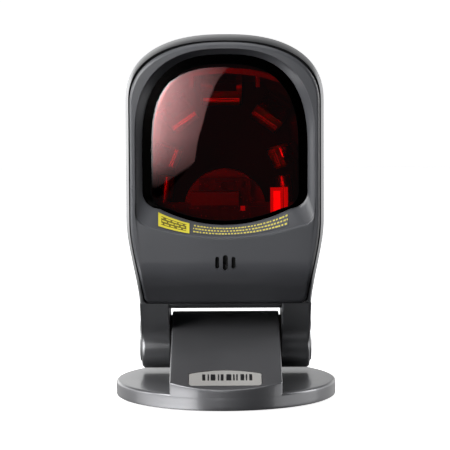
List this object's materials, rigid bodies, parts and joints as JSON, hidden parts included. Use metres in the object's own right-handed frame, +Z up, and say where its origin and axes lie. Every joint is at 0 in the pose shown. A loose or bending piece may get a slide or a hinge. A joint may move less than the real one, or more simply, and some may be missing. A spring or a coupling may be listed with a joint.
{
  "type": "presentation barcode scanner",
  "caption": "Hands-free presentation barcode scanner: arched head with a large red window, tilting in a fork on a round weighted stand.",
  "frame": {"origin": "on the floor under the middle of the round base", "axes": "+Z up, the window faces -Y, +X is the right side as seen from the front"},
  "size_m": [0.118, 0.118, 0.194],
  "materials": {
    "grey_plastic": "fine spark-eroded moulding texture, dark grey",
    "silver_paint": "satin silver-grey paint on moulded plastic",
    "red_window": "polished deep red acrylic filter, dark when unlit",
    "black_foam": "closed-cell foam",
    "yellow_label": "printed vinyl with a dark panel, no wording",
    "black_label": "printed vinyl with plain dashes, no wording",
    "black_plastic": "moulded, satin",
    "satin_metal": "die cast, lightly tumbled",
    "mirror_glass": "front-silvered glass",
    "spring_steel": "bright rolled",
    "brass": "turned",
    "circuit_board": "solder mask with tracks",
    "chip_plastic": "moulded epoxy",
    "red_plastic": "moulded",
    "red_led": "clear red epoxy",
    "dark_steel": "black oxide",
    "blank_label": "plain vinyl",
    "nylon": "natural nylon",
    "warm_paint": "satin warm grey paint",
    "cast_weight": "rough cast",
    "rubber": "moulded",
    "silver_badge": "fine brushed plate",
    "fibre": "hard fibre friction disc"
  },
  "bodies": {
    "stand": {"base_housing": "warm_paint", "base_weight": "cast_weight", "base_cover": "black_plastic", "base_feet": "rubber", "base_screws": "spring_steel", "badge": "silver_badge", "pivot_shaft": "spring_steel", "friction_washers": "fibre", "spring_washers": "spring_steel", "pivot_nuts": "spring_steel"},
    "head": {"front_cover": "grey_plastic", "rear_shell": "silver_paint", "window_lens": "red_window", "window_gasket": "black_foam", "caution_label": "yellow_label", "print_strip": "black_label", "optics_chassis": "black_plastic", "top_rail": "satin_metal", "mirror_top": "mirror_glass", "mirror_upper_left": "mirror_glass", "mirror_upper_right": "mirror_glass", "mirror_lower_left": "mirror_glass", "mirror_lower_right": "mirror_glass", "mirror_clips": "spring_steel", "laser_left": "brass", "laser_right": "brass", "motor_base": "satin_metal", "detector_board": "circuit_board", "collector_lens": "red_window", "main_pcb": "circuit_board", "pcb_chips": "chip_plastic", "pcb_shield": "spring_steel", "ribbon_socket": "red_plastic", "flat_cable": "red_plastic", "status_led": "red_led", "beeper": "black_plastic", "interface_jack": "black_plastic", "jack_contacts": "brass", "case_screws": "dark_steel", "board_screws": "spring_steel", "rating_plate": "blank_label", "pivot_cap_left": "silver_paint", "pivot_cap_right": "silver_paint", "bush_left": "nylon", "bush_right": "nylon"},
    "rotor": {"motor_rotor": "dark_steel", "polygon_mirror": "mirror_glass"}
  },
  "joints": [
    {"name": "head_tilt", "type": "hinge", "parent": "stand", "child": "head", "pos_m": [0, 0.025, 0.0266], "axis": [1, 0, 0], "range_deg": [-30, 25]},
    {"name": "mirror_spin", "type": "hinge", "parent": "head", "child": "rotor", "pos_m": [0, 0.03, 0.098], "axis": [0, 1, 0], "continuous": true}
  ]
}
